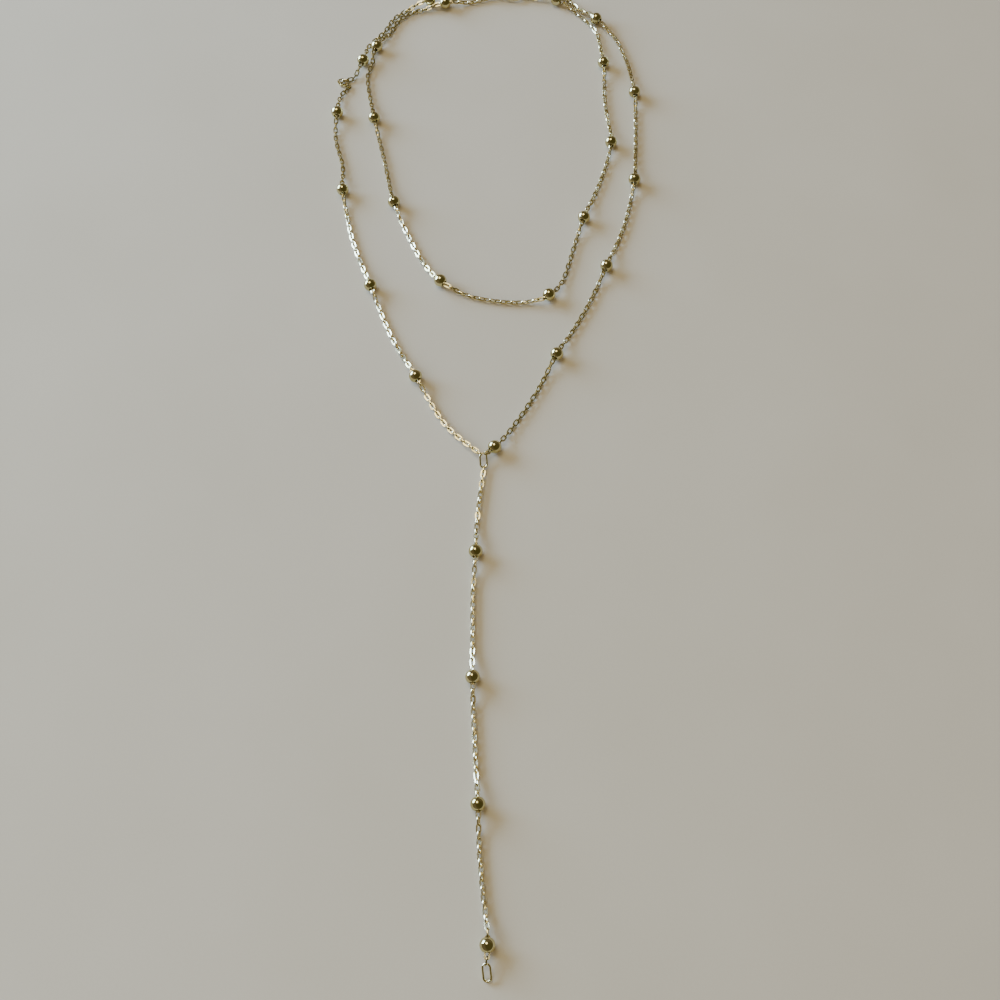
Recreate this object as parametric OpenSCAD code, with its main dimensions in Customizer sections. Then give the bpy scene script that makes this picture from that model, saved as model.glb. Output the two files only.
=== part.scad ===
// Layered necklace: two loops of fine cable chain set with polished balls, with a straight
// drop below the outer loop. It lies flat: +X is its right side, +Y runs up towards the clasp,
// and Z is height above the surface that it lies on.

/* [Balls] */
// Diameter of a ball
ball_d = 4; // [3.9:0.05:4.1]
// Bore through a ball, in which the chain runs
bore_d = 1.84; // [1.8:0.02:2]

/* [Chain] */
// Wire of a link
link_wire = 0.4; // [0.36:0.02:0.42]
// Outer length of a link
link_len = 2.56; // [2.5:0.02:2.6]
// Outer width of a link
link_w = 1.54; // [1.52:0.02:1.6]
// Smallest play between two links
link_play = 0.17; // [0.16:0.01:0.2]

/* [Rings] */
// Outer length of the two oval rings
ring_len = 4.8; // [4.6:0.1:5]
// Outer width of the two oval rings
ring_w = 2.6; // [2.6:0.1:2.8]
// Wire of the two oval rings
ring_wire = 0.5; // [0.4:0.05:0.5]
// Outer diameter of the round clasp rings
jump_d = 3.5; // [3.45:0.05:3.6]
// Wire of the round clasp rings
jump_wire = 0.5; // [0.45:0.05:0.5]

/* [Clasp] */
// Outer length of the clasp's loop
clasp_len = 6.4; // [6.2:0.1:6.6]
// Outer width of the clasp's loop
clasp_w = 4.2; // [4:0.1:4.6]
// Thickness of the clasp's loop
clasp_wire = 1; // [0.9:0.05:1]
// Outer diameter of the clasp's eye
clasp_eye_d = 2.8; // [2.7:0.05:2.8]
// Wire of the clasp's eye
clasp_eye_wire = 0.6; // [0.5:0.05:0.6]

/* [Hidden] */
$fn = 48;
inner_names = [for (i = [1 : 10]) str("bead_inner_", i < 10 ? "0" : "", i)];
outer_names = [for (i = [1 : 12]) str("bead_outer_", i < 10 ? "0" : "", i)];
drop_names = [for (i = [1 : 4]) str("bead_drop_", i)];
sides = 8; // of a chain tube
ball_z = ball_d / 2;
tube_straight = 2.1; // a tube runs straight and level this far each side of a ball's middle
link_straight = 3; // and real links this far, in two equal parts, so that none touches the bore
link_parts = 2;
ring_back = 0.9; // from a ring's wire to the end of a chain tube
link_half = (link_len - link_wire) / 2;
link_pitch = 2 * link_half - link_wire - link_play; // most, between two links
ring_hold = (ring_wire + link_wire) / 2 + link_play; // an end link reaches this far past a ring's wire
turn = 45; // roll of the links, which lie on two edges
turn_links = 4; // links over which the chain turns from a ring onto its edges
lift_run = 7.5; // length of a strand's way down from a ball to the surface
drop_z = 0.67; // height of the drop's chain on its edges
steps = 6; // of the smooth curve between two rows

// Where the clasp and its rings lie
clasp_y = 163.9;
clasp_z = 1.15;
jump_z = jump_d / 2 + 0.02;
left_jump_x = 3.6;
right_jump_x = 12.25;
clasp_loop_x = 9.55;
clasp_eye_x = 5.1;

// Rows are x, y, z, and 1 for a ball or 0 for a point of the chain. A ball's z is ball_z.
// From the right clasp ring down the right side, round the bottom and up to the left clasp ring
inner_rows = [
    [13.5, 163.9, 0.9, 0], [18.5, 162.8, 0.75, 0],
    [24.8, 161.1, 0, 1], [32.5, 155.2, 0.75, 0], [38.5, 147, 0.75, 0],
    [40.5, 131.4, 0, 1], [40.5, 114, 0.75, 0],
    [41.8, 96, 0, 1], [37.8, 80.5, 0.75, 0],
    [31.8, 64.8, 0, 1], [28.5, 54.5, 0.75, 0], [25, 42, 0.75, 0],
    [20, 34.7, 0, 1], [8, 32.4, 0.75, 0], [-3.5, 34.3, 0.75, 0],
    [-14.2, 40, 0, 1], [-21.6, 50.8, 0.75, 0], [-27, 62.8, 0.75, 0],
    [-30, 71, 0, 1], [-34, 89, 0.75, 0],
    [-38, 106.5, 0, 1], [-41.2, 124.5, 0.75, 0], [-39.9, 131.8, 0.75, 0],
    [-38.5, 139, 0, 1], [-34.4, 145.6, 0.75, 0], [-31.4, 152, 0.75, 0],
    [-26.4, 156.3, 0.75, 0], [-21.8, 157.6, 0.75, 0],
    [-15, 159.6, 0, 1], [-4.5, 161.3, 0.75, 0],
    [2.35, 163.9, 0.9, 0]
];

// From the right clasp ring down to the ball at the oval ring
outer_right_rows = [
    [13.5, 163.9, 2.65, 0], [17, 164.9, 2.2, 0],
    [20.5, 165, 0.75, 0], [27.5, 163.6, 0.75, 0], [32.5, 158.2, 0.75, 0],
    [38.7, 152.1, 0, 1], [45.5, 143.2, 0.75, 0], [49.2, 130.8, 0.75, 0],
    [50.7, 118, 0, 1], [50.3, 99, 0.75, 0],
    [48.9, 80.3, 0, 1], [45, 62.8, 0.75, 0],
    [38.4, 45.7, 0, 1], [31.1, 29.3, 0.75, 0],
    [22, 13, 0, 1], [13.8, -3.2, 0.75, 0],
    [3.05, -19.05, 0, 1], [0.5, -21.5, 2, 0]
];

// From the oval ring up the left side, through a fold in the chain, to the left clasp ring
outer_left_rows = [
    [-1.15, -21.5, 1.9, 0], [-11.7, -11.2, 0.75, 0],
    [-21, 5.1, 0, 1], [-29, 20, 0.75, 0],
    [-36.2, 38.3, 0, 1], [-42.8, 56.3, 0.75, 0],
    [-47, 76, 0, 1], [-47.8, 87, 0.75, 0], [-50.7, 98, 0.75, 0],
    [-50.7, 109, 0, 1], [-50, 117, 0.75, 0],
    [-48, 120.6, 0.75, 0], [-47.1, 121.5, 0.75, 0], [-48, 122.4, 0.75, 0],
    [-50.3, 122.4, 0.75, 0], [-51.2, 123.3, 0.75, 0], [-50.3, 124.2, 0.75, 0],
    [-46.3, 125, 0.75, 0],
    [-43, 132.5, 0, 1], [-41.4, 139.8, 0.75, 0], [-36.3, 146.6, 0.75, 0],
    [-32.9, 153.2, 0.75, 0], [-27, 158.2, 0.75, 0],
    [-20.5, 161.1, 0, 1], [-9.5, 164.8, 0.75, 0],
    [2.35, 163.9, 2.65, 0]
];

// From the oval ring straight down to the free end
drop_rows = [
    [-0.1, -25.3, 0.8, 0], [-1, -33, 0.71, 0], [-2, -43, 0.67, 0],
    [-2.3, -52.3, 0, 1], [-2.9, -64.5, 0.67, 0], [-2.9, -77, 0.67, 0],
    [-2.8, -89, 0, 1], [-2.4, -100.5, 0.67, 0], [-1.8, -111.5, 0.67, 0],
    [-1.1, -122.9, 0, 1], [-0.6, -134.5, 0.67, 0], [0.4, -145, 0.67, 0],
    [1.2, -151.2, 0.67, 0], [1.5, -157.1, 0, 1],
    [1.15, -161.4, 0.67, 0]
];

// The oval rings, each from the wire's middle at its high end to its low end
junction_from = [-0.4, -21.2, 2.1];
junction_to = [-0.1, -25.3, 0.8];
end_from = [1.15, -161.4, 1.88];
end_to = [1.6, -165.4, 0.47];
end_roll = 12; // of the end ring, which leans on its left edge

function unit(v) = v / norm(v);
function spot(row) = [row.x, row.y, row[3] == 1 ? ball_z : row.z];
function balls(rows) = [for (i = [0 : len(rows) - 1]) if (rows[i][3] == 1) i];

// Level direction of the strand at row i, in which the nearer neighbour counts more
function heading(rows, i) =
    let (a = rows[i] - rows[i - 1], b = rows[i + 1] - rows[i],
         d = [a.x, a.y, 0] / (a.x ^ 2 + a.y ^ 2) + [b.x, b.y, 0] / (b.x ^ 2 + b.y ^ 2))
    unit(d);

function turns(rows, i) = [0, 0, atan2(heading(rows, i).y, heading(rows, i).x)];

// Points of a strand, which is straight for a length each side of every ball, in so many parts
function laid(rows, straight, parts, z) =
    [for (i = [0 : len(rows) - 1])
        let (p = [rows[i].x, rows[i].y, rows[i][3] == 1 ? z : rows[i].z])
        each rows[i][3] == 0 ? [p]
            : [for (k = [-parts : parts]) p + k / parts * straight * heading(rows, i)]];

// Number of each ball's middle among those points
function middles(rows, parts) =
    let (b = balls(rows)) [for (k = [0 : len(b) - 1]) b[k] + parts * (2 * k + 1)];

// One smooth curve through four points, at t from 0 to 1 between the middle two
function curve(a, b, c, d, t) =
    (2 * b + (c - a) * t + (2 * a - 5 * b + 4 * c - d) * t ^ 2 + (3 * b - a - 3 * c + d) * t ^ 3) / 2;

function smooth(p) =
    let (n = len(p) - 1)
    concat(
        [for (i = [0 : n - 1], k = [0 : steps - 1])
            curve(p[max(i - 1, 0)], p[i], p[i + 1], p[min(i + 2, n)], k / steps)],
        [p[n]]);

// Distance along a path to each of its points
function reach(path) =
    [for (i = 0, s = 0; i < len(path);
          s = s + (i + 1 < len(path) ? norm(path[i + 1] - path[i]) : 0), i = i + 1) s];

function along(path, far, s) =
    [for (k = [0 : 2]) lookup(s, [for (i = [0 : len(path) - 1]) [far[i], path[i][k]]])];

// Faces of a closed tube of n rings
function tube_faces(n) = concat(
    [[for (k = [0 : sides - 1]) k]],
    [for (i = [0 : n - 2], k = [0 : sides - 1])
        [i * sides + k, (i + 1) * sides + k,
         (i + 1) * sides + (k + 1) % sides, i * sides + (k + 1) % sides]],
    [[for (k = [sides - 1 : -1 : 0]) (n - 1) * sides + k]]);

// Ring of points round p, square to the direction d
function tube_ring(p, d) =
    let (side = unit(cross(d, [0, 0, 1])), up = cross(side, d))
    [for (k = [0 : sides - 1])
        let (a = 360 * (k + 0.5) / sides)
        p + link_w / 2 * (cos(a) * side + sin(a) * up)];

// A strand's chain as a plain tube, from ring to ball to ball to ring
module tube(rows) {
    p = laid(rows, tube_straight, 1, ball_z);
    last = len(p) - 1;
    path = [for (i = [0 : last])
        let (inward = i == 0 ? unit(p[1] - p[0]) : i == last ? unit(p[last - 1] - p[last]) : 0 * p[i])
        p[i] + ring_back * inward];
    n = len(path);
    rings = [for (i = [0 : n - 1])
        let (back = path[max(i, 1)] - path[max(i, 1) - 1],
             on = path[min(i, n - 2) + 1] - path[min(i, n - 2)])
        tube_ring(path[i], unit(unit(back) + unit(on)))];
    polyhedron([for (r = rings, q = r) q], tube_faces(n), convexity = 6);
}

// A torus or an oval ring of round wire, flat on XY with its length along X
module oval(length, width, wire) {
    straight = length - width;
    mid = (width - wire) / 2;
    for (end = [0, 1]) rotate([0, 0, 180 * end]) {
        translate([straight / 2, 0, 0]) rotate([0, 0, -90]) rotate_extrude(angle = 180)
            translate([mid, 0]) circle(d = wire);
        if (straight > 0.01) translate([-straight / 2, mid, 0]) rotate([0, 90, 0])
            cylinder(h = straight, d = wire);
    }
}

module torus(d, wire) {
    rotate_extrude() translate([(d - wire) / 2, 0]) circle(d = wire);
}

// An oval ring laid from one wire's middle to the other's, and rolled about that line
module laid_ring(from, to, roll) {
    d = to - from;
    translate((from + to) / 2)
        rotate([roll, -asin(d.z / norm(d)), atan2(d.y, d.x)]) oval(ring_len, ring_w, ring_wire);
}

module ball(rows, number) {
    i = balls(rows)[number];
    translate(spot(rows[i])) rotate(turns(rows, i)) rotate([0, 90, 0]) rotate_extrude()
        difference() {
            circle(d = ball_d);
            translate([-ball_d, -ball_d]) square([ball_d + bore_d / 2, 2 * ball_d]);
        }
}

// How far a strand is still lifted at distance d from a ball's middle, from 1 down to 0
function lift(d) =
    let (t = min(max((d - link_straight) / lift_run, 0), 1)) 1 - t * t * (3 - 2 * t);

// A strand of interlocking links between two rings, each a quarter turn from the last
module links(rows) {
    path = smooth(laid(rows, link_straight, link_parts, drop_z));
    far = reach(path);
    at_balls = [for (k = middles(rows, link_parts)) far[k * steps]];
    first = link_half - ring_hold;
    span = far[len(far) - 1] - 2 * first;
    count = 2 * ceil(span / link_pitch / 2) + 1;
    function place(s) = along(path, far, s)
        + [0, 0, (ball_z - drop_z) * max([for (b = at_balls) lift(abs(s - b))])];
    for (i = [0 : count - 1]) {
        s = first + i * span / (count - 1);
        d = unit(place(s + link_half) - place(s - link_half));
        roll = 90 * (i + 1) + turn * min(i, count - 1 - i, turn_links) / turn_links;
        translate(place(s)) rotate([roll, -asin(d.z), atan2(d.y, d.x)])
            oval(link_len, link_w, link_wire);
    }
}

module chain_inner() color("#b8ab78") tube(inner_rows);
module chain_outer() color("#b8ab78") {
    tube(outer_right_rows);
    tube(outer_left_rows);
}
module chain_drop() color("#c4b88a") links(drop_rows);

module junction_ring() color("#cfc292") laid_ring(junction_from, junction_to, 0);
module end_ring() color("#cfc292") laid_ring(end_from, end_to, end_roll);

module clasp_ring(x) color("#cfc292")
    translate([x, clasp_y, jump_z]) rotate([90, 0, 0]) torus(jump_d, jump_wire);

// A plain closed clasp: one loop with an eye soldered to its end
module clasp() color("#d6ca9c") {
    translate([clasp_loop_x, clasp_y, clasp_z]) oval(clasp_len, clasp_w, clasp_wire);
    translate([clasp_eye_x, clasp_y, clasp_z]) torus(clasp_eye_d, clasp_eye_wire);
}

// Balls are counted from the clasp: the outer loop's down its right side, then its left
right_balls = len(balls(outer_right_rows));
module bead_inner(i) color("#d8cc9e") ball(inner_rows, i);
module bead_outer(i) color("#d8cc9e")
    if (i < right_balls) ball(outer_right_rows, i); else ball(outer_left_rows, i - right_balls);
module bead_drop(i) color("#d8cc9e") ball(drop_rows, i);

chain_inner();
chain_outer();
chain_drop();
junction_ring();
end_ring();
clasp();
clasp_ring(left_jump_x);  // clasp_ring_left
clasp_ring(right_jump_x);  // clasp_ring_right
for (i = [0 : 9]) bead_inner(i);
for (i = [0 : 11]) bead_outer(i);
for (i = [0 : 3]) bead_drop(i);
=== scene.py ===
import math

import bpy
import numpy as np
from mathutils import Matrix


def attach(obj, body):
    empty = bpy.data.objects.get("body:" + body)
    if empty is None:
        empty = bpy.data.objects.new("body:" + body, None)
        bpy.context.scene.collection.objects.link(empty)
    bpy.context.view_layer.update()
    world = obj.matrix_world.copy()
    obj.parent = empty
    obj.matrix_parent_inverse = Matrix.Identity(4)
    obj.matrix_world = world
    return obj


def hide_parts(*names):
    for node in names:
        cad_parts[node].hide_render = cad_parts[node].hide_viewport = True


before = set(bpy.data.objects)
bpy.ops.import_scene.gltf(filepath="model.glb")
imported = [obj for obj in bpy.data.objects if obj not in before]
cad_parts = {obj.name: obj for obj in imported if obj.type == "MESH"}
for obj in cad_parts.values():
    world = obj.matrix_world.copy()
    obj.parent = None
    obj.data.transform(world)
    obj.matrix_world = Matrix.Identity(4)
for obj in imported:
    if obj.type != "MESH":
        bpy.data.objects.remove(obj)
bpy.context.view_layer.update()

print("frame loaded:", len(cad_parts), "nodes")


# An object at the origin, linked into the scene
def newObject(name, data):
    thing = bpy.data.objects.new(name, data)
    bpy.context.scene.collection.objects.link(thing)
    return thing


# Camera

cameraLook = {
    "place": (0.0046, -0.1826, 0.3156),
    "tilt": 25,  # degrees up from straight down
    "lens": 43.2,  # mm
    "sensor": 36,  # mm wide
    "clip": (0.01, 20),  # metres, near and far
}


# Looks down at the floor and a little ahead, along +Y
def makeCamera(look):
    data = bpy.data.cameras.new("camera")
    data.lens = look["lens"]
    data.sensor_width = look["sensor"]
    data.clip_start, data.clip_end = look["clip"]
    camera = newObject("camera", data)
    camera.location = look["place"]
    camera.rotation_euler = (math.radians(look["tilt"]), 0, 0)
    bpy.context.scene.camera = camera


makeCamera(cameraLook)
print("camera set")


# Shader nodes

colourA, colourB, colourOut = 6, 7, 2  # sockets of a Mix node that mixes colours


# A shader node of a kind, such as Bump, with its own settings and the values of its inputs
def newNode(tree, kind, values=None, **settings):
    node = tree.nodes.new("ShaderNode" + kind)
    for setting, value in settings.items():
        setattr(node, setting, value)
    for socket, value in (values or {}).items():
        node.inputs[socket].default_value = value
    return node


# Spreads the values between two ends over 0 to 1
def rangeNode(tree, ends, **settings):
    return newNode(tree, "MapRange", {"From Min": ends[0], "From Max": ends[1]}, **settings)


# Goes from its first colour to its second by a factor from 0 to 1
def mixNode(tree, values=None):
    return newNode(tree, "Mix", values, data_type="RGBA")


# Light

lightLook = {
    # a low window on the left and behind
    "window": {"aim": (-0.83, 0.49, 0.27), "far": 1.6, "wide": 1.18, "high": 0.85, "watts": 55,
               "colour": (0.71, 1.0, 1.38), "inMetal": True},
    "ceiling": {"aim": (-0.2, 0.28, 0.94), "far": 1.4, "wide": 0.64, "high": 0.7, "watts": 6,
                "colour": (1.12, 1.0, 0.68), "inMetal": True},
    # from the near left, too pale to show in polished metal
    "wall": {"aim": (-0.53, -0.73, 0.44), "far": 0.8, "wide": 1.0, "high": 0.6, "watts": 2.8,
             "colour": (0.95, 1.0, 0.9), "inMetal": False},
}

roomLook = {
    "light": (0.20, 0.165, 0.11, 1),
    "dark": (0.105, 0.09, 0.035, 1),
    "darkSide": (0.42, -0.3, 0.86),  # above the camera, on the right
    "darkRange": (0.35, 0.75),  # of a direction's share of the dark side, from light to dark
    "fill": (0.27, 0.16, 0.02, 1),  # what matt surfaces get from the whole room
}


# A lamp that stands off from the middle along aim and looks back at it
def makeLamp(name, look):
    data = bpy.data.lights.new(name, "AREA")
    data.shape = "RECTANGLE"
    data.size = look["wide"]
    data.size_y = look["high"]
    data.energy = look["watts"]
    data.color = look["colour"]
    lamp = newObject(name, data)
    aim = np.array(look["aim"]) / np.linalg.norm(look["aim"])
    lamp.location = aim * look["far"]
    lamp.rotation_euler = lamp.location.to_track_quat("Z", "Y").to_euler()
    lamp.visible_glossy = look["inMetal"]


# The room that polished metal shows is dark on one side: its colour fades by the dot product with that
# side's direction. Matt surfaces get one even fill from it instead.
def makeRoom(look):
    world = bpy.data.worlds.new("room")
    world.use_nodes = True
    tree = world.node_tree
    direction = newNode(tree, "TexCoord")
    side = newNode(tree, "VectorMath", {1: look["darkSide"]}, operation="DOT_PRODUCT")
    fade = rangeNode(tree, look["darkRange"], interpolation_type="SMOOTHSTEP")
    shown = mixNode(tree, {colourA: look["light"], colourB: look["dark"]})
    ray = newNode(tree, "LightPath")
    given = mixNode(tree, {colourB: look["fill"]})
    join = tree.links.new
    join(direction.outputs["Generated"], side.inputs[0])
    join(side.outputs["Value"], fade.inputs["Value"])
    join(fade.outputs["Result"], shown.inputs["Factor"])
    join(ray.outputs["Is Diffuse Ray"], given.inputs["Factor"])
    join(shown.outputs[colourOut], given.inputs[colourA])
    join(given.outputs[colourOut], tree.nodes["Background"].inputs["Color"])
    bpy.context.scene.world = world


for lampName, lampLook in lightLook.items():
    makeLamp(lampName, lampLook)
makeRoom(roomLook)
print("light set")


# Finishes

# What the plating's patterns share on every piece
patternLook = {
    "toneDetail": 3,
    "toneRange": (0.35, 0.65),  # of the noise, from warm to pale
    "hazeDetail": 2,
    "hazeRange": (0.42, 0.72),  # of the noise, from clear to hazy
    "scratchDetail": 4,
    "scratchRoughness": 0.7,
    "scratchRange": (0.55, 0.7),  # of the noise, from the plain surface to a scratch
    "scratchDepth": 0.00001,
}

# Polish is the least roughness, and haze is what the patches add to it. Scratch is how strongly the scratches
# show, and they run longest along the axis with the smallest stretch.
chainGold = {
    "warm": (0.72, 0.62, 0.33, 1), "pale": (0.86, 0.79, 0.55, 1), "toneScale": 240,
    "polish": 0.16, "haze": 0.12, "wearScale": 2500, "stretch": (1, 1, 1), "scratch": 0.15,
}
ballGold = {
    "warm": (0.51, 0.46, 0.22, 1), "pale": (0.62, 0.57, 0.33, 1), "toneScale": 420,
    "polish": 0.035, "haze": 0.07, "wearScale": 1600, "stretch": (1, 0.25, 1), "scratch": 0.1,
}
ringGold = {
    "warm": (0.74, 0.64, 0.34, 1), "pale": (0.86, 0.79, 0.52, 1), "toneScale": 500,
    "polish": 0.09, "haze": 0.12, "wearScale": 2000, "stretch": (0.3, 1, 1), "scratch": 0.15,
}
claspGold = {
    "warm": (0.76, 0.64, 0.32, 1), "pale": (0.85, 0.76, 0.46, 1), "toneScale": 360,
    "polish": 0.08, "haze": 0.14, "wearScale": 1500, "stretch": (0.3, 1, 1), "scratch": 0.2,
}


# A node group and its two ends, from the names of its sockets and their kinds
def newGroup(name, inputs, outputs):
    group = bpy.data.node_groups.new(name, "ShaderNodeTree")
    for way, sockets in (("INPUT", inputs), ("OUTPUT", outputs)):
        for label, kind in sockets.items():
            group.interface.new_socket(label, in_out=way, socket_type="NodeSocket" + kind)
    return group, group.nodes.new("NodeGroupInput"), group.nodes.new("NodeGroupOutput")


# Slow changes of tone over the plating, from its warm colour to its pale one
def platingGroup(look):
    group, given, result = newGroup(
        "Plating tone", {"Warm": "Color", "Pale": "Color", "Scale": "Float"}, {"Color": "Color"})
    place = newNode(group, "TexCoord")
    cloud = newNode(group, "TexNoise", {"Detail": look["toneDetail"]})
    spread = rangeNode(group, look["toneRange"])
    tone = mixNode(group)
    join = group.links.new
    join(place.outputs["Object"], cloud.inputs["Vector"])
    join(given.outputs["Scale"], cloud.inputs["Scale"])
    join(cloud.outputs["Fac"], spread.inputs["Value"])
    join(spread.outputs["Result"], tone.inputs["Factor"])
    join(given.outputs["Warm"], tone.inputs[colourA])
    join(given.outputs["Pale"], tone.inputs[colourB])
    join(tone.outputs[colourOut], result.inputs["Color"])
    return group


# Fine wear of polished metal: roughness is polish plus haze in patches, and height rises in short scratches
# where a stretched noise peaks
def wearGroup(look):
    group, given, result = newGroup(
        "Polish wear", {"Polish": "Float", "Haze": "Float", "Scale": "Float", "Stretch": "Vector"},
        {"Roughness": "Float", "Height": "Float"})
    place = newNode(group, "TexCoord")
    patches = newNode(group, "TexNoise", {"Detail": look["hazeDetail"]})
    haze = rangeNode(group, look["hazeRange"])
    amount = newNode(group, "Math", operation="MULTIPLY_ADD")
    stretched = newNode(group, "VectorMath", operation="MULTIPLY")
    scratches = newNode(
        group, "TexNoise", {"Detail": look["scratchDetail"], "Roughness": look["scratchRoughness"]})
    peaks = rangeNode(group, look["scratchRange"])
    join = group.links.new
    join(place.outputs["Object"], patches.inputs["Vector"])
    join(given.outputs["Scale"], patches.inputs["Scale"])
    join(patches.outputs["Fac"], haze.inputs["Value"])
    join(haze.outputs["Result"], amount.inputs[0])
    join(given.outputs["Haze"], amount.inputs[1])
    join(given.outputs["Polish"], amount.inputs[2])
    join(amount.outputs[0], result.inputs["Roughness"])
    join(place.outputs["Object"], stretched.inputs[0])
    join(given.outputs["Stretch"], stretched.inputs[1])
    join(stretched.outputs[0], scratches.inputs["Vector"])
    join(given.outputs["Scale"], scratches.inputs["Scale"])
    join(scratches.outputs["Fac"], peaks.inputs["Value"])
    join(peaks.outputs["Result"], result.inputs["Height"])
    return group


platingTone = platingGroup(patternLook)
polishWear = wearGroup(patternLook)


# A new material, with its node tree and its shader
def newMaterial(name):
    material = bpy.data.materials.new(name)
    material.use_nodes = True
    return material, material.node_tree, material.node_tree.nodes["Principled BSDF"]


# Gold plated brass: the finish of each piece is its own dictionary
def goldMaterial(name, look):
    material, tree, shader = newMaterial(name)
    shader.inputs["Metallic"].default_value = 1
    tone = newNode(tree, "Group", {"Warm": look["warm"], "Pale": look["pale"], "Scale": look["toneScale"]},
                   node_tree=platingTone)
    wear = newNode(tree, "Group", {"Polish": look["polish"], "Haze": look["haze"], "Scale": look["wearScale"],
                                   "Stretch": look["stretch"]}, node_tree=polishWear)
    relief = newNode(tree, "Bump", {"Strength": look["scratch"], "Distance": patternLook["scratchDepth"]})
    join = tree.links.new
    join(tone.outputs["Color"], shader.inputs["Base Color"])
    join(wear.outputs["Roughness"], shader.inputs["Roughness"])
    join(wear.outputs["Height"], relief.inputs["Height"])
    join(relief.outputs["Normal"], shader.inputs["Normal"])
    return material


chainMetal = goldMaterial("chain_gold", chainGold)
ballMetal = goldMaterial("ball_gold", ballGold)
ringMetal = goldMaterial("ring_gold", ringGold)
claspMetal = goldMaterial("clasp_gold", claspGold)
print("finishes made")


# Meshes

# Each direction divided by its own length
def unit(v):
    return v / np.linalg.norm(v, axis=-1, keepdims=True)


# The two directions square to one: level to its left, by the cross product with straight up, and up from both
def leftAndUp(ahead):
    left = unit(np.cross([0, 0, 1], ahead))
    return left, np.cross(ahead, left)


# Faces of a grid of points that closes on itself both ways, for every copy of the grid: each joins a point to
# the next one around, and both to their neighbours across
def ringFaces(copies, around, across):
    i = np.arange(around)[:, None]
    k = np.arange(across)[None, :]
    onward, up = (i + 1) % around, (k + 1) % across
    quad = np.stack([i * across + k, onward * across + k, onward * across + up, i * across + up], axis=-1)
    starts = np.arange(copies)[:, None, None] * around * across
    return (quad.reshape(1, -1, 4) + starts).reshape(-1, 4)


# A piece from a grid whose axes are its copies, around, across and x, y, z. It stands for one node, and an
# edge is shaded sharp where its faces turn by more than the angle.
def addPiece(name, grid, metal, node, sharpAngle):
    points, faces = grid.reshape(-1, 3), ringFaces(*grid.shape[:3])
    mesh = bpy.data.meshes.new(name)
    mesh.vertices.add(len(points))
    mesh.vertices.foreach_set("co", points.astype(np.float32).ravel())
    mesh.loops.add(faces.size)
    mesh.loops.foreach_set("vertex_index", faces.astype(np.int32).ravel())
    mesh.polygons.add(len(faces))
    mesh.polygons.foreach_set("loop_start", np.arange(0, faces.size, faces.shape[1], dtype=np.int32))
    mesh.polygons.foreach_set("use_smooth", np.ones(len(faces), bool))
    mesh.update(calc_edges=True)
    mesh.validate()
    mesh.set_sharp_from_angle(angle=math.radians(sharpAngle))
    mesh.materials.append(metal)
    piece = newObject(name, mesh)
    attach(piece, "root")
    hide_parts(node)


# Where the middle of an oval ring's wire runs, and which way is outwards there:
# two half circles about centres on the x axis, joined by straight sides
def ovalLine(length, width, wire, stepsPerEnd):
    radius = (width - wire) / 2
    centre = (length - width) / 2
    angle = np.linspace(-math.pi / 2, math.pi / 2, stepsPerEnd)
    outward = np.stack([np.cos(angle), np.sin(angle)], axis=-1)
    outward = np.vstack([outward, -outward])
    middle = np.where(np.arange(2 * stepsPerEnd) < stepsPerEnd, centre, -centre)
    line = radius * outward
    line[:, 0] += middle
    return line, outward


# A ring of wire: each point of the section is carried outwards and upwards from the oval line
def ovalGrid(length, width, wire, stepsPerEnd, section):
    line, outward = ovalLine(length, width, wire, stepsPerEnd)
    out, up = section[:, 0] * wire / 2, section[:, 1] * wire / 2
    flat = line[:, None, :] + outward[:, None, :] * out[None, :, None]
    height = np.broadcast_to(up[None, :, None], flat.shape[:2] + (1,))
    return np.concatenate([flat, height], axis=-1)


# Points evenly round a circle of radius 1
def roundSection(sides):
    angle = np.arange(sides) / sides * 2 * math.pi
    return np.stack([np.cos(angle), np.sin(angle)], axis=-1)


# Strands

# Each row is x, y, z in metres, 1 for a ball or 0 for a point of the chain, and the links' roll in degrees
ballColumn, rollColumn = 3, 4
laid = 0.00075  # the rows' z where a strand is on the floor, and at its balls

innerRows = np.array([
    (0.0135, 0.1639, 0.0009, 0, 0), (0.0185, 0.1628, laid, 0, 30),
    (0.0248, 0.1611, laid, 1, 52), (0.0325, 0.1552, laid, 0, 55), (0.0385, 0.147, laid, 0, 55),
    (0.0405, 0.1314, laid, 1, 62), (0.0405, 0.114, laid, 0, 62),
    (0.0418, 0.096, laid, 1, 55), (0.0378, 0.0805, laid, 0, 55),
    (0.0318, 0.0648, laid, 1, 55), (0.0285, 0.0545, laid, 0, 62), (0.025, 0.042, laid, 0, 75),
    (0.02, 0.0347, laid, 1, 90), (0.008, 0.0324, laid, 0, 100), (-0.0035, 0.0343, laid, 0, 98),
    (-0.0142, 0.04, laid, 1, 66), (-0.0216, 0.0508, laid, 0, 57), (-0.027, 0.0628, laid, 0, 57),
    (-0.03, 0.071, laid, 1, 30), (-0.034, 0.089, laid, 0, 22),
    (-0.038, 0.1065, laid, 1, 20), (-0.0412, 0.1245, laid, 0, 20), (-0.0399, 0.1318, laid, 0, 20),
    (-0.0385, 0.139, laid, 1, 20), (-0.0344, 0.1456, laid, 0, 25), (-0.0314, 0.152, laid, 0, 25),
    (-0.0264, 0.1563, laid, 0, 25), (-0.0218, 0.1576, laid, 0, 25),
    (-0.015, 0.1596, laid, 1, 20), (-0.0045, 0.1613, laid, 0, 0),
    (0.00235, 0.1639, 0.0009, 0, 0),
])

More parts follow.
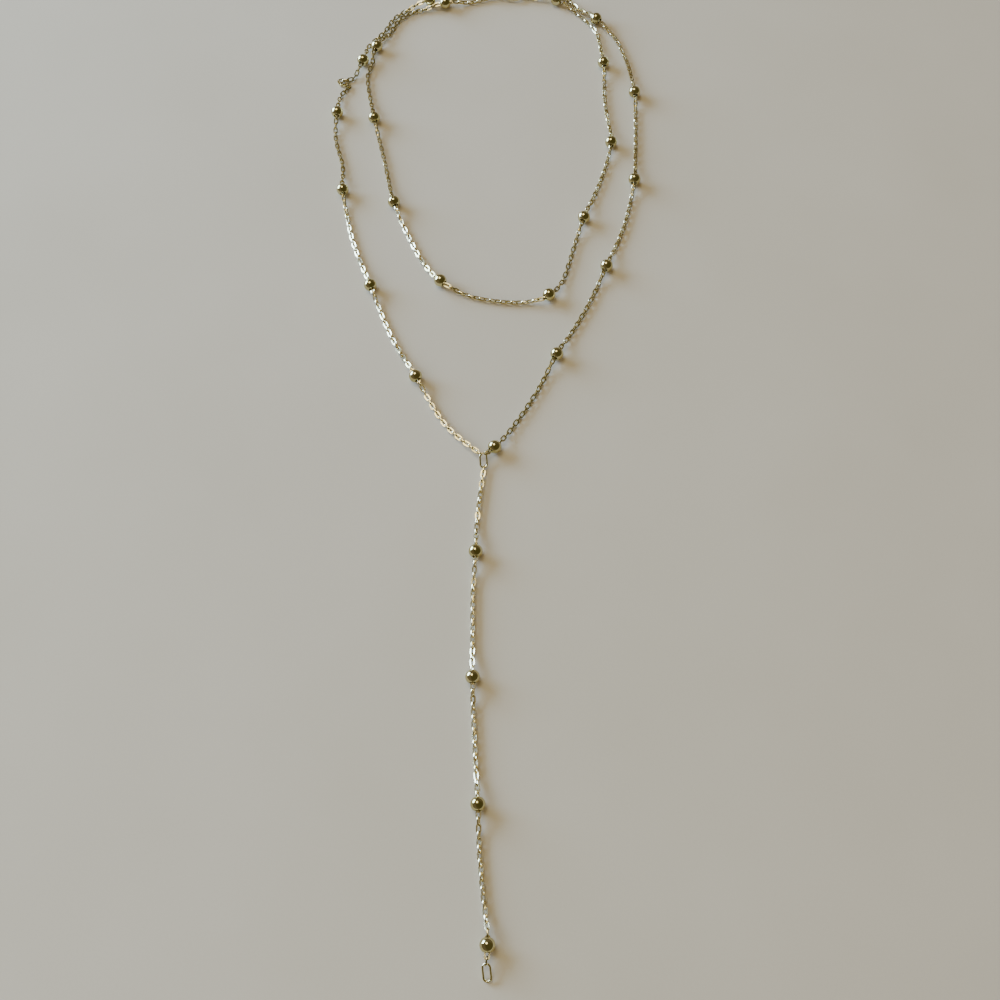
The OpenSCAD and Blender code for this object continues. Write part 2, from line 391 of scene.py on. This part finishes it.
outerRightRows = np.array([
    (0.0135, 0.1639, 0.00265, 0, 0), (0.017, 0.1649, 0.0022, 0, 20),
    (0.0205, 0.165, laid, 0, 50), (0.0275, 0.1636, laid, 0, 50), (0.0325, 0.1582, laid, 0, 50),
    (0.0387, 0.1521, laid, 1, 55), (0.0455, 0.1432, laid, 0, 68), (0.0492, 0.1308, laid, 0, 68),
    (0.0507, 0.118, laid, 1, 66), (0.0503, 0.099, laid, 0, 60),
    (0.0489, 0.0803, laid, 1, 55), (0.045, 0.0628, laid, 0, 55),
    (0.0384, 0.0457, laid, 1, 55), (0.0311, 0.0293, laid, 0, 55),
    (0.022, 0.013, laid, 1, 55), (0.0138, -0.0032, laid, 0, 60),
    (0.00305, -0.01905, laid, 1, 80), (0.0005, -0.0215, 0.002, 0, 90),
])

outerLeftRows = np.array([
    (-0.00115, -0.0215, 0.0019, 0, 90), (-0.0117, -0.0112, laid, 0, 80),
    (-0.021, 0.0051, laid, 1, 80), (-0.029, 0.02, laid, 0, 55),
    (-0.0362, 0.0383, laid, 1, 60), (-0.0428, 0.0563, laid, 0, 57),
    (-0.047, 0.076, laid, 1, 25), (-0.0478, 0.087, laid, 0, 22), (-0.0507, 0.098, laid, 0, 22),
    (-0.0507, 0.109, laid, 1, 22), (-0.05, 0.117, laid, 0, 20),
    (-0.048, 0.1206, laid, 0, 25), (-0.0471, 0.1215, laid, 0, 35), (-0.048, 0.1224, laid, 0, 40),
    (-0.0503, 0.1224, laid, 0, 30), (-0.0512, 0.1233, laid, 0, 10), (-0.0503, 0.1242, laid, 0, 35),
    (-0.0463, 0.125, laid, 0, 40),
    (-0.043, 0.1325, laid, 1, 20), (-0.0414, 0.1398, laid, 0, 20), (-0.0363, 0.1466, laid, 0, 25),
    (-0.0329, 0.1532, laid, 0, 25), (-0.027, 0.1582, laid, 0, 25),
    (-0.0205, 0.1611, laid, 1, 25), (-0.0095, 0.1648, laid, 0, 15),
    (0.00235, 0.1639, 0.00265, 0, 0),
])

dropRows = np.array([
    (-0.0001, -0.0253, 0.0008, 0, 90), (-0.001, -0.033, laid, 0, 110), (-0.002, -0.043, laid, 0, 104),
    (-0.0023, -0.0523, laid, 1, 110), (-0.0029, -0.0645, laid, 0, 112), (-0.0029, -0.077, laid, 0, 114),
    (-0.0028, -0.089, laid, 1, 114), (-0.0024, -0.1005, laid, 0, 116), (-0.0018, -0.1115, laid, 0, 116),
    (-0.0011, -0.1229, laid, 1, 112), (-0.0006, -0.1345, laid, 0, 116), (0.0004, -0.145, laid, 0, 116),
    (0.0012, -0.1512, laid, 0, 108), (0.0015, -0.1571, laid, 1, 98),
    (0.00115, -0.1614, laid, 0, 90),
])

strandLook = {
    "ballHeight": 0.002,  # of a ball's middle above the floor
    "ballPoints": 5,  # of the strand's points on the straight line through a ball
    "straight": 0.0028,  # that line's reach each side of the ball's middle
    "liftFrom": 0.0026,  # a strand stays as high as the ball this far from its middle
    "liftRun": 0.006,  # length of its way down from there to the floor
    "steps": 12,  # of the curve from one point to the next
}


# Level direction of a strand at each row: the steps from the row before and to the row after, each divided by
# its length squared, so that the nearer neighbour counts more
def headings(rows):
    step = np.diff(rows[:, :2], axis=0)
    pull = step / np.sum(step ** 2, axis=1, keepdims=True)
    level = np.zeros((len(rows), 3))
    level[1:-1, :2] = pull[:-1] + pull[1:]
    level[0, :2], level[-1, :2] = pull[0], pull[-1]
    return unit(level)


# A strand's path: each ball gives some points on one straight line, and the cubic between two points has, at
# each, half the step between its neighbours as its slope. With the path go the distances along it to each of
# its points, to each row and to each ball, and the rows' rolls.
def strandPath(rows, look):
    isBall = rows[:, ballColumn] == 1
    spread = np.linspace(-1, 1, look["ballPoints"])[:, None] * look["straight"]
    groups = [place + spread * aim if ball else place[None]
              for place, aim, ball in zip(rows[:, :3], headings(rows), isBall)]
    points = np.vstack(groups)
    rowPoints = np.cumsum([len(g) for g in groups]) - np.where(isBall, look["ballPoints"] // 2 + 1, 1)
    ends = np.vstack([points[:1], points, points[-1:]])
    a, b, c, d = (ends[k:len(ends) - 3 + k, None] for k in range(4))
    t = np.linspace(0, 1, look["steps"], endpoint=False)[None, :, None]
    bend = 2 * a - 5 * b + 4 * c - d
    turn = 3 * b - a - 3 * c + d
    curve = (2 * b + (c - a) * t + bend * t ** 2 + turn * t ** 3) / 2
    path = np.vstack([curve.reshape(-1, 3), points[-1:]])
    far = np.concatenate([[0], np.cumsum(np.linalg.norm(np.diff(path, axis=0), axis=1))])
    atRows = far[rowPoints * look["steps"]]
    roll = rows[:, rollColumn]
    return {"path": path, "far": far, "atRows": atRows, "atBalls": atRows[isBall], "roll": roll}


# How far a strand is lifted, 1 at a ball and 0 on the floor, eased at both ends by the cubic 3 t^2 - 2 t^3
def liftNear(s, atBalls, look):
    near = np.abs(s[:, None] - atBalls[None, :]).min(axis=1)
    t = np.clip((near - look["liftFrom"]) / look["liftRun"], 0, 1)
    return 1 - t * t * (3 - 2 * t)


# Chains

linkLook = {
    "length": 0.00264,
    "width": 0.00156,
    "wire": 0.00046,
    "pitch": 0.0017,  # most, from link to link
    "crossTurn": 90,  # degrees of roll from one link to the next
    "ringPlay": 0.00017,  # between an end link and the ring that it hangs in
    "floorGap": 0.00004,  # under a link whose roll is just as its rows say
    "stepsPerEnd": 6,
    # flats on both faces of the link, cut wide across its wire
    "section": np.array([(1, 0), (0.8, 0.86), (-0.8, 0.86), (-1, 0), (-0.8, -0.86), (0.8, -0.86)]),
    "looseRoll": 4,  # degrees, the spread of a link's random roll
    "looseTurn": 3,  # degrees, the spread of its random turn to a side
    "easedLinks": 3,  # at each end of a strand, over which the random turns grow
    "sharpAngle": 38,
}

# Wires of the rings that the end links go round
ovalWire = 0.00056
jumpWire = 0.0005


# Height of a strand's middle where it lies on the floor. Two neighbouring links are a quarter turn apart, and
# the steeper one reaches lowest: by its wire's distance from its middle times the sine or cosine of its roll,
# whichever is greater, and by the corner of that wire.
def restHeight(roll, look):
    corner = look["wire"] / 2 * np.linalg.norm(look["section"], axis=1).max()
    reach = (look["width"] - look["wire"]) / 2
    angle = np.radians(roll)
    edge = np.maximum(np.abs(np.sin(angle)), np.abs(np.cos(angle)))
    return corner + reach * edge + look["floorGap"]


# Points of a strand as it lies, at distances s along it: the path, raised to the rest height on the floor and
# to the ball's middle at a ball
def lyingPoints(s, strand):
    p = np.stack([np.interp(s, strand["far"], strand["path"][:, k]) for k in range(3)], axis=-1)
    p[:, 2] = np.maximum(p[:, 2], laid)  # the cubic dips where it comes down to the floor
    rest = restHeight(np.interp(s, strand["atRows"], strand["roll"]), linkLook)
    lift = liftNear(s, strand["atBalls"], strandLook)
    p[:, 2] += rest - laid + lift * (strandLook["ballHeight"] - rest)
    return p


# Middles of the links along a strand, and the directions along, across and through each link. A link points
# from half a pitch before its place to half a pitch after it, and its middle is half way between. Its roll is
# a quarter turn on from the last link's, plus the rows' own roll there, with some degrees at random.
# The path starts and ends in the wires of two rings, and the end links' own wires go round those.
def linkPlaces(rows, wires, seed):
    random = np.random.default_rng(seed)
    strand = strandPath(rows, strandLook)
    half = (linkLook["length"] - linkLook["wire"]) / 2
    holds = [(wire + linkLook["wire"]) / 2 + linkLook["ringPlay"] for wire in wires]
    first, last = half - holds[0], strand["far"][-1] + holds[1] - half
    count = 2 * math.ceil((last - first) / linkLook["pitch"] / 2) + 1  # odd, so that both end links lie alike
    number = np.arange(count)
    s = np.linspace(first, last, count)
    inside = np.clip(np.minimum(number, number[::-1]) / linkLook["easedLinks"], 0, 1)
    twist = np.interp(s, strand["atRows"], strand["roll"])
    loose = random.normal(0, linkLook["looseRoll"], count)
    roll = np.radians(twist + linkLook["crossTurn"] * number + loose * inside)
    start = lyingPoints(s - linkLook["pitch"] / 2, strand)
    end = lyingPoints(s + linkLook["pitch"] / 2, strand)
    level = unit(end - start)
    free = inside * (1 - liftNear(s, strand["atBalls"], strandLook))
    sway = np.radians(random.normal(0, linkLook["looseTurn"], count) * free)
    ahead = level.copy()
    ahead[:, 0] = level[:, 0] * np.cos(sway) - level[:, 1] * np.sin(sway)
    ahead[:, 1] = level[:, 0] * np.sin(sway) + level[:, 1] * np.cos(sway)
    left, up = leftAndUp(ahead)
    across = np.cos(roll)[:, None] * left + np.sin(roll)[:, None] * up
    return (start + end) / 2, ahead, across, np.cross(ahead, across)


# The links of a strand: one oval ring, carried onto each link's middle and three directions
def chainGrid(rows, wires, seed):
    middle, ahead, across, through = (v[:, None, None, :] for v in linkPlaces(rows, wires, seed))
    link = ovalGrid(linkLook["length"], linkLook["width"], linkLook["wire"],
                    linkLook["stepsPerEnd"], linkLook["section"])
    x, y, z = (link[None, ..., k, None] for k in range(3))
    return middle + x * ahead + y * across + z * through


# A chain of one strand or more, each with its rows, the wires at its two ends and its seed
def makeChain(name, strands, node):
    grid = np.concatenate([chainGrid(**strand) for strand in strands])
    addPiece(name, grid, chainMetal, node, linkLook["sharpAngle"])
    print(name, "has", len(grid), "links")


makeChain("cable_chain_inner", [
    {"rows": innerRows, "wires": (jumpWire, jumpWire), "seed": 3},
], "chain_inner")
makeChain("cable_chain_outer", [
    {"rows": outerRightRows, "wires": (jumpWire, ovalWire), "seed": 5},
    {"rows": outerLeftRows, "wires": (ovalWire, jumpWire), "seed": 7},
], "chain_outer")
makeChain("cable_chain_drop", [
    {"rows": dropRows, "wires": (ovalWire, ovalWire), "seed": 11},
], "chain_drop")


# Balls

ballLook = {
    "radius": 0.002,
    "bore": 0.00086,  # radius of the hole that the chain runs through
    "rim": 0.00016,  # rounding where the hole opens
    "around": 56,  # points round the bore
    "outside": 34,  # points from one rim to the other
    "rimSteps": 5,
    "sharpAngle": 60,
}


# Half outline of a drilled ball as distance along its bore and distance from it: the sphere's arc,
# a small arc that rounds it over into the bore at each end, and the bore's straight wall between them
def ballOutline(look):
    rimFar = look["bore"] + look["rim"]
    rimAlong = math.sqrt((look["radius"] - look["rim"]) ** 2 - rimFar ** 2)
    opening = math.atan2(rimFar, rimAlong)
    angle = np.linspace(opening, math.pi - opening, look["outside"])
    sphere = look["radius"] * np.stack([np.cos(angle), np.sin(angle)], axis=-1)
    angle = np.linspace(math.pi - opening, 1.5 * math.pi, look["rimSteps"] + 1)[1:]
    rim = look["rim"] * np.stack([np.cos(angle), np.sin(angle)], axis=-1) + (-rimAlong, rimFar)
    far = rim[::-1] * (-1, 1)
    return np.vstack([sphere, rim, far])


# A drilled ball: its half outline, turned round the line through its middle along aim
def ballGrid(look, middle, aim):
    outline = ballOutline(look)
    turn = roundSection(look["around"])
    left, up = leftAndUp(aim)
    spoke = turn[:, :1] * left + turn[:, 1:] * up
    return middle + outline[None, :, :1] * aim + outline[None, :, 1:] * spoke[:, None, :]


# The balls of a strand, numbered from first, each in line with the strand there. Gives the next number.
def makeBalls(pattern, first, rows):
    aim = headings(rows)
    spots = np.nonzero(rows[:, ballColumn])[0]
    for number, i in enumerate(spots, first):
        label = pattern % number
        middle = np.array([rows[i, 0], rows[i, 1], strandLook["ballHeight"]])
        grid = ballGrid(ballLook, middle, aim[i])
        addPiece("ball_" + label, grid[None], ballMetal, "bead_" + label, ballLook["sharpAngle"])
    return first + len(spots)


makeBalls("inner_%02d", 1, innerRows)
nextOuter = makeBalls("outer_%02d", 1, outerRightRows)
makeBalls("outer_%02d", nextOuter, outerLeftRows)
makeBalls("drop_%d", 1, dropRows)
print("balls made")


# Rings and clasp

ringLook = {
    "length": 0.0048,
    "width": 0.0025,
    # a point near the high end of each ring and one near its low end
    "junction": ((-0.0004, -0.0212, 0.0021), (-0.0001, -0.0253, 0.0008)),
    "end": ((0.00115, -0.1614, 0.00188), (0.0016, -0.1654, 0.00047)),
    "junctionRoll": 0,  # degrees about the ring's long line
    "endRoll": 12,
    "stepsPerEnd": 24,
    "sides": 16,
    "sharpAngle": 60,
}

claspLook = {
    # length, width and wire of the loop, its eye and the round rings on both sides
    "loop": (0.0064, 0.0042, 0.001),
    "eye": (0.0028, 0.0028, 0.0006),
    "jump": (0.0035, 0.0035, jumpWire),
    # x of their middles, the y of all and the heights
    "loopAt": 0.00955,
    "eyeAt": 0.0051,
    "leftJumpAt": 0.0036,
    "rightJumpAt": 0.01225,
    "y": 0.1639,
    "z": 0.00115,
    "jumpHeight": 0.00177,
    "stepsPerEnd": 28,
    "sides": 18,
    "sharpAngle": 60,
}


# Carries an oval ring's own x, y and z onto three directions about a middle
def setGrid(grid, middle, x, y):
    x, y = unit(np.array(x, float)), unit(np.array(y, float))
    z = np.cross(x, y)
    return np.array(middle) + grid[..., :1] * x + grid[..., 1:2] * y + grid[..., 2:] * z


# An oval ring that leans from high to low, rolled about that line from where its width is level
def makeLaidRing(name, node, high, low, roll):
    high, low, roll = np.array(high), np.array(low), math.radians(roll)
    grid = ovalGrid(ringLook["length"], ringLook["width"], ovalWire, ringLook["stepsPerEnd"],
                    roundSection(ringLook["sides"]))
    ahead = unit(low - high)
    left, up = leftAndUp(ahead)
    grid = setGrid(grid, (high + low) / 2, ahead, math.cos(roll) * left + math.sin(roll) * up)
    addPiece(name, grid[None], ringMetal, node, ringLook["sharpAngle"])


# A round ring that stands upright, in line with the clasp
def makeJumpRing(name, node, x, look):
    grid = ovalGrid(*look["jump"], look["stepsPerEnd"], roundSection(look["sides"]))
    grid = setGrid(grid, (x, look["y"], look["jumpHeight"]), (1, 0, 0), (0, 0, 1))
    addPiece(name, grid[None], ringMetal, node, look["sharpAngle"])


# The clasp lies flat: its loop and the small eye at the loop's left end are one piece
def makeClasp(look):
    grids = []
    for part in ("loop", "eye"):
        grid = ovalGrid(*look[part], look["stepsPerEnd"], roundSection(look["sides"]))
        grids.append(setGrid(grid, (look[part + "At"], look["y"], look["z"]), (1, 0, 0), (0, 1, 0)))
    addPiece("clasp_loop", np.stack(grids), claspMetal, "clasp", look["sharpAngle"])


makeLaidRing("oval_ring_junction", "junction_ring", *ringLook["junction"], ringLook["junctionRoll"])
makeLaidRing("oval_ring_end", "end_ring", *ringLook["end"], ringLook["endRoll"])
makeJumpRing("jump_ring_left", "clasp_ring_left", claspLook["leftJumpAt"], claspLook)
makeJumpRing("jump_ring_right", "clasp_ring_right", claspLook["rightJumpAt"], claspLook)
makeClasp(claspLook)
print("rings and clasp made")


# Floor

floorLook = {
    "halfSize": 1.6,
    "paper": (0.60, 0.565, 0.49, 1),
    "paperShade": (0.57, 0.535, 0.455, 1),
    "paleRange": (0.55, 1.0),  # of the two noises together, from the shade to the paper's own tone
    "blotchScale": 18,
    "blotchDetail": 3,
    "speckleScale": 1400,
    "speckleDetail": 5,
    "speckleRoughness": 0.65,
    "speckleShare": 0.55,  # of the speckles, beside 1 of the blotches
    "grainHeight": 0.00002,
    "grainStrength": 0.35,
    "roughness": 0.92,
    "specular": 0.2,
}


# Matt paper: its tone follows broad blotches plus a share of fine speckles, which also give it its grain
def paperMaterial(look):
    material, tree, shader = newMaterial("paper")
    shader.inputs["Roughness"].default_value = look["roughness"]
    shader.inputs["Specular IOR Level"].default_value = look["specular"]
    place = newNode(tree, "TexCoord")
    blotches = newNode(tree, "TexNoise", {"Scale": look["blotchScale"], "Detail": look["blotchDetail"]})
    grain = newNode(tree, "TexNoise", {"Scale": look["speckleScale"], "Detail": look["speckleDetail"],
                                       "Roughness": look["speckleRoughness"]})
    blend = newNode(tree, "Math", {1: look["speckleShare"]}, operation="MULTIPLY_ADD")
    spread = rangeNode(tree, look["paleRange"])
    tone = mixNode(tree, {colourA: look["paperShade"], colourB: look["paper"]})
    relief = newNode(tree, "Bump", {"Strength": look["grainStrength"], "Distance": look["grainHeight"]})
    join = tree.links.new
    join(place.outputs["Object"], blotches.inputs["Vector"])
    join(place.outputs["Object"], grain.inputs["Vector"])
    join(grain.outputs["Fac"], blend.inputs[0])
    join(blotches.outputs["Fac"], blend.inputs[2])
    join(blend.outputs[0], spread.inputs["Value"])
    join(spread.outputs["Result"], tone.inputs["Factor"])
    join(tone.outputs[colourOut], shader.inputs["Base Color"])
    join(grain.outputs["Fac"], relief.inputs["Height"])
    join(relief.outputs["Normal"], shader.inputs["Normal"])
    return material


# A level square at height 0, where the necklace lies
def makeFloor(look):
    half = look["halfSize"]
    corners = [(-half, -half, 0), (half, -half, 0), (half, half, 0), (-half, half, 0)]
    mesh = bpy.data.meshes.new("floor")
    mesh.from_pydata(corners, [], [(0, 1, 2, 3)])
    mesh.materials.append(paperMaterial(look))
    newObject("floor", mesh)


makeFloor(floorLook)
print("floor made")
